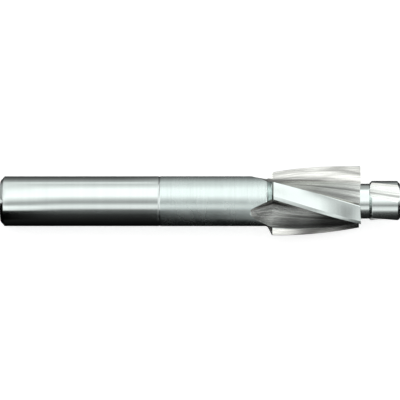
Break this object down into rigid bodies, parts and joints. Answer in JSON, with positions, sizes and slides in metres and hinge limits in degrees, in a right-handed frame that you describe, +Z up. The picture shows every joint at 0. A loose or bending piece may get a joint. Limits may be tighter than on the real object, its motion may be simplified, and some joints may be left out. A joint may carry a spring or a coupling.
{
  "type": "counterbore cutter",
  "caption": "Solid steel counterbore cutter with spiral flutes, a fixed guide pilot at the front and a plain round shank.",
  "frame": {"origin": "centre of the shank's end face, on the tool's axis, as the tool lies on a level surface", "axes": "+X from the shank end towards the pilot, rising 1.3 degrees as the tool lies; +Z up; +Y to the left when looking along +X"},
  "size_m": [0.1002, 0.0173, 0.0167],
  "materials": {
    "high_speed_steel": "ground bright on the shank, lands and pilot, satin on the neck, fine grinding lines in the flutes"
  },
  "bodies": {
    "root": {"counterbore_cutter": "high_speed_steel"}
  },
  "joints": []
}
